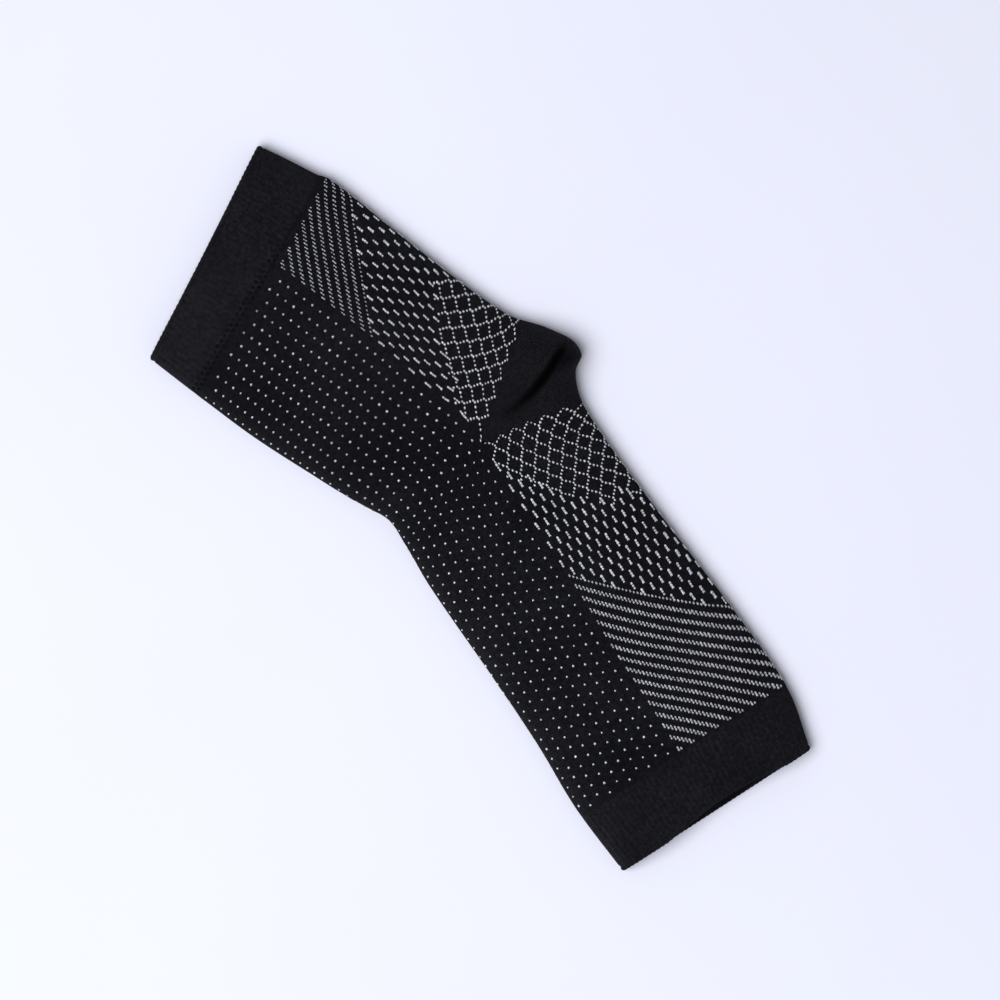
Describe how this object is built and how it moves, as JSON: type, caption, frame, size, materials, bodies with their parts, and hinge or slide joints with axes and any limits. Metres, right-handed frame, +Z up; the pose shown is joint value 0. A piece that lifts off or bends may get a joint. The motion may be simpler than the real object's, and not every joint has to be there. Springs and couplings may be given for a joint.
{
  "type": "open-toe ankle brace sock",
  "caption": "Open-toe knitted ankle brace sock lying flat on its side: a bent hollow sleeve with a creased heel pocket and a ribbed cuff at each open end.",
  "frame": {"origin": "middle of the outline, on the surface that the sock lies on", "axes": "+X along the sock from the leg cuff to the open toe end, +Y towards the heel, +Z up from the surface through the thickness"},
  "size_m": [0.2643, 0.1089, 0.014],
  "materials": {
    "rib_knit": "matt black fine rib knit",
    "sleeve_knit": "matt black plain knit",
    "heel_knit": "matt black plain knit",
    "pattern_yarn": "matt light grey yarn of the knitted pattern"
  },
  "bodies": {
    "root": {"leg_cuff": "rib_knit", "sleeve": "sleeve_knit", "heel_pocket": "heel_knit", "foot_cuff": "rib_knit"}
  },
  "joints": []
}
